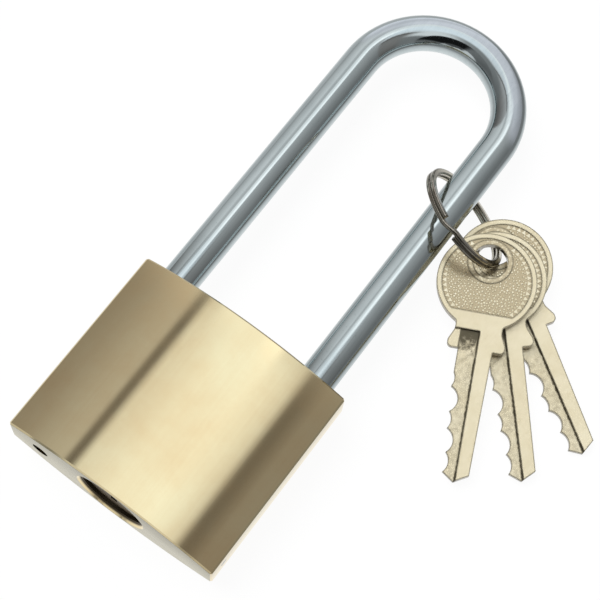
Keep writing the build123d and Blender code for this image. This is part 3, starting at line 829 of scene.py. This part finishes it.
def add_bow_relief(node, body, seed):
    """Pebbles and rim marks on both faces of one key's bow, riding on that key."""
    source = linked(f"{node}_relief_source", bpy.data.meshes.new("relief_source"))
    modifier = source.modifiers.new("bow_relief", "NODES")
    modifier.node_group = BOW_RELIEF
    set_inputs(modifier, {"Seed": seed, "Finish": lit_relief_nickel})
    bpy.context.view_layer.update()
    grown = source.evaluated_get(bpy.context.evaluated_depsgraph_get())
    mesh = bpy.data.meshes.new_from_object(grown)
    bpy.data.objects.remove(source)
    mesh.name = f"{node}_bow_relief"
    mesh.transform(planes[node])
    piece = linked(f"{node}_bow_relief", mesh)
    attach(piece, body)


for number, (node, body) in enumerate(KEYS):
    add_bow_relief(node, body, seed=FIRST_SEED + number)


# ---- springs, as merged copies of the CAD springs -------------------------------
# Each spring stands on the body at one end and on a moving part at the other.
WORKING_SPRINGS = (
    ("shackle_spring", "shackle", "shackle_bar"),
    ("bolt_spring", "bolt", "locking_bolt"),
    *((f"pin_spring_{number}", f"driver_pin_{number}", f"driver_{number}") for number in range(1, 6)),
)


def add_working_spring(node, pushed_node, pushed_body):
    """A merged copy of a spring, left where it stands at rest, in place of the hidden CAD spring."""
    mesh = frame["nodes"][node].data.copy()
    mesh.name = f"{node}_coil"
    merged = bmesh.new()
    merged.from_mesh(mesh)
    bmesh.ops.remove_doubles(merged, verts=merged.verts, dist=SAME_POINT)
    merged.to_mesh(mesh)
    merged.free()
    coil = linked(f"{node}_coil", mesh)
    axis = Vector([abs(part) for part in joint_of[pushed_body]["axis"]])
    middle = middle_of(node)
    half = axis * size_of(node).dot(axis) / 2
    if (middle_of(pushed_node) - middle).dot(axis) < 0:
        half = -half
    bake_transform(coil)
    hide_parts(node)


for node, pushed_node, pushed_body in WORKING_SPRINGS:
    add_working_spring(node, pushed_node, pushed_body)


# ---- floor, light and camera ---------------------------------------------------
FLOOR_GAP = 0.2 * MM  # between the floor and the lowest point of the lock and its keys
FLOOR_SIZE = 3.0
FLOOR_TONE = 0.93
FLOOR_WHITENESS = 0.94
# In reflections the floor glows as painted light: white in a surface close to it, dimmer with the distance.
WHITE_WITHIN = 8 * MM
DIM_BEYOND = 34 * MM
# The dim level of this painted reflection falls from the heel side of the lock to the toe side.
HEEL_SIDE_X = -50 * MM
HEEL_SIDE_LEVEL = 0.55
TOE_SIDE_X = 25 * MM
TOE_SIDE_LEVEL = 0.18


def make_floor(height):
    """A pale sheet just under the lock, which keeps its shadow; it looks white to the camera and glows as a
    painted reflection in the metal.
    """
    mesh = bpy.data.meshes.new("floor")
    corners = ((-1, -1), (1, -1), (1, 1), (-1, 1))
    mesh.from_pydata([(x * FLOOR_SIZE, y * FLOOR_SIZE, height) for x, y in corners], [], [(0, 1, 2, 3)])
    floor = linked("floor", mesh)
    material = bpy.data.materials.new("pale_floor")
    material.use_nodes = True
    tree = material.node_tree
    tree.nodes.remove(tree.nodes["Principled BSDF"])
    matt = tree.nodes.new("ShaderNodeBsdfDiffuse")
    matt.inputs["Color"].default_value = (FLOOR_TONE, FLOOR_TONE, FLOOR_TONE, 1.0)
    glow = tree.nodes.new("ShaderNodeEmission")
    glow.inputs["Color"].default_value = (1.0, 1.0, 1.0, 1.0)
    rays = tree.nodes.new("ShaderNodeLightPath").outputs
    x = split_up(tree, tree.nodes.new("ShaderNodeNewGeometry").outputs["Position"])[0]
    dim_level = spread(tree, x, HEEL_SIDE_X, TOE_SIDE_X, HEEL_SIDE_LEVEL, TOE_SIDE_LEVEL)
    level = spread(tree, rays["Ray Length"], DIM_BEYOND, WHITE_WITHIN, dim_level, 1.0)
    tree.links.new(maths(tree, "MAXIMUM", rays["Is Camera Ray"], level), glow.inputs["Strength"])
    mirrored = maths(tree, "MAXIMUM", rays["Is Glossy Ray"], rays["Is Transmission Ray"])
    seen = maths(tree, "MAXIMUM", rays["Is Camera Ray"], mirrored)
    mix = tree.nodes.new("ShaderNodeMixShader")
    tree.links.new(product(tree, seen, FLOOR_WHITENESS), mix.inputs["Fac"])
    tree.links.new(matt.outputs["BSDF"], mix.inputs[1])
    tree.links.new(glow.outputs["Emission"], mix.inputs[2])
    tree.links.new(mix.outputs["Shader"], tree.nodes["Material Output"].inputs["Surface"])
    mesh.materials.append(material)


# The studio is made of rows, from the one that faces the bottom of the lock to the one behind
# the arch. Each is a list of brightnesses, by degrees from overhead towards +X. A black card
# stands in front, a soft panel hangs overhead, and the back is pale.
LOWEST_FRONT = ((-180, 0.75), (180, 0.75))
LOW_FRONT = (
    (-180, 0.50), (-88, 0.50), (-60, 0.75), (-24, 0.75), (-10, 0.08), (52, 0.08), (70, 0.55),
    (88, 0.50), (180, 0.50),
)
FRONT = (
    (-180, 0.40), (-92, 0.32), (-80, 0.18), (-60, 0.15), (-36, 0.19), (-18, 0.22), (-10, 0.01),
    (60, 0.01), (70, 0.13), (84, 0.20), (120, 0.35), (180, 0.40),
)
BEFORE_THE_BODY = (
    (-180, 0.50), (-92, 0.30), (-80, 0.18), (-50, 0.24), (-20, 0.29), (-6, 0.36), (4, 0.80),
    (12, 0.92), (34, 0.92), (44, 0.26), (60, 0.24), (84, 0.24), (120, 0.40), (180, 0.50),
)
OVER_THE_BODY = (
    (-180, 0.55), (-92, 0.45), (-88, 0.14), (-76, 0.17), (-62, 0.26), (-50, 0.34), (-40, 0.44),
    (-32.5, 0.50), (-30.5, 0.16), (-28.5, 0.14), (-26, 0.78), (-20, 0.86), (-10, 1.00), (6, 1.05),
    (13, 0.96), (19, 0.78), (22.5, 0.17), (25, 0.17), (31, 0.28), (44, 0.27), (60, 0.24),
    (80, 0.17), (90, 0.14), (120, 0.40), (180, 0.55),
)
OVER_THE_BARS = (
    (-180, 0.60), (-92, 0.50), (-88, 0.40), (-72, 0.60), (-48, 0.78), (-35, 0.86), (-27, 0.58),
    (-23.5, 0.64), (-19, 1.20), (-8, 1.04), (-2, 1.06), (2, 1.50), (6, 1.50), (9, 0.54),
    (22, 0.47), (36, 0.40), (50, 0.33), (70, 0.24), (90, 0.20), (120, 0.40), (180, 0.60),
)
BACK = (
    (-180, 0.80), (-84, 1.00), (-72, 0.96), (-60, 0.80), (-48, 0.76), (-24, 0.96), (-8, 0.86),
    (24, 0.76), (40, 0.62), (62, 0.50), (84, 0.40), (120, 0.50), (180, 0.80),
)
# Each later row, with the slopes towards +Y between which it takes over from the one before.
LATER_ROWS = (
    (LOW_FRONT, (-0.985, -0.978)),
    (FRONT, (-0.92, -0.89)),
    (BEFORE_THE_BODY, (-0.54, -0.49)),
    (OVER_THE_BODY, (-0.24, -0.06)),
    (OVER_THE_BARS, (0.262, 0.30)),
    (BACK, (0.48, 0.60)),
)


def toned(brightness, row):
    """A tone of the studio: warm where it is dim over the body, faintly violet at the back."""
    green = 1.0
    blue = 1.0
    if row is OVER_THE_BODY:
        share = min(brightness, 1.0)
        green = 0.90 + 0.15 * share
        blue = 0.84 + 0.26 * share
    elif row is BACK:
        green = 0.975
        blue = 1.04
    return (brightness, brightness * green, brightness * blue, 1.0)


def add_row(tree, place, row):
    """The tones of one row of the studio, read at the place given from 0 to 1 round it."""
    ramp = tree.nodes.new("ShaderNodeValToRGB")
    tree.links.new(place, ramp.inputs["Fac"])
    stops = ramp.color_ramp.elements
    while len(stops) < len(row):
        stops.new(0.5)
    for stop, (degrees, brightness) in zip(stops, row):
        stop.position = degrees / 360 + 0.5
        stop.color = toned(brightness, row)
    return ramp.outputs["Color"]


def make_studio():
    """A soft studio all round, in rows from its front to its pale back, and white to the camera."""
    world = bpy.data.worlds.new("studio")
    bpy.context.scene.world = world
    world.use_nodes = True
    tree = world.node_tree
    across, slope, up = split_up(tree, tree.nodes.new("ShaderNodeTexCoord").outputs["Generated"])
    turn = maths(tree, "ARCTAN2", across, up)
    place = maths(tree, "ADD", maths(tree, "DIVIDE", turn, 2 * math.pi), 0.5)
    tones = add_row(tree, place, LOWEST_FRONT)
    for row, change in LATER_ROWS:
        tones = blended(tree, spread(tree, slope, *change), tones, add_row(tree, place, row))
    rays = tree.nodes.new("ShaderNodeLightPath").outputs
    seen = blended(tree, rays["Is Camera Ray"], tones, (1.0, 1.0, 1.0, 1.0))
    tree.links.new(seen, tree.nodes["Background"].inputs["Color"])
    tree.nodes["Background"].inputs["Strength"].default_value = 1.0


FILL_ENERGY = 2.6
FILL_SOFTNESS = math.radians(40)
FILL_TURN = (math.radians(4), math.radians(-24), 0.0)
CAMERA_LENS = 102.22
CAMERA_SENSOR = 36.0
CAMERA_PLACE = Vector((62.8, -49.27, 328.92)) * MM
CAMERA_FORWARD = Vector((-0.16606, 0.30247, -0.93858))
CAMERA_UP = Vector((-0.57043, 0.74693, 0.34163))


def make_fill_lamp():
    """A very soft lamp overhead, which brings matt surfaces to their written tone."""
    lamp = linked("fill_lamp", bpy.data.lights.new("fill_lamp", "SUN"))
    lamp.data.energy = FILL_ENERGY
    lamp.data.angle = FILL_SOFTNESS
    lamp.rotation_euler = FILL_TURN
    lamp.visible_glossy = False


def make_camera():
    """The camera, above the lock and to its lower right, turned so that the arch is at upper right."""
    camera = linked("camera", bpy.data.cameras.new("camera"))
    camera.data.sensor_width = CAMERA_SENSOR
    camera.data.lens = CAMERA_LENS
    camera.data.clip_start = 0.01
    camera.data.clip_end = 10.0
    forward = CAMERA_FORWARD.normalized()
    right = forward.cross(CAMERA_UP).normalized()
    turn = Matrix((right, right.cross(forward), -forward)).transposed().to_4x4()
    camera.matrix_world = Matrix.Translation(CAMERA_PLACE) @ turn
    bpy.context.scene.camera = camera


make_floor(cad_box[0][2] - FLOOR_GAP)
make_studio()
make_fill_lamp()
make_camera()
bpy.context.scene.view_settings.view_transform = "Standard"
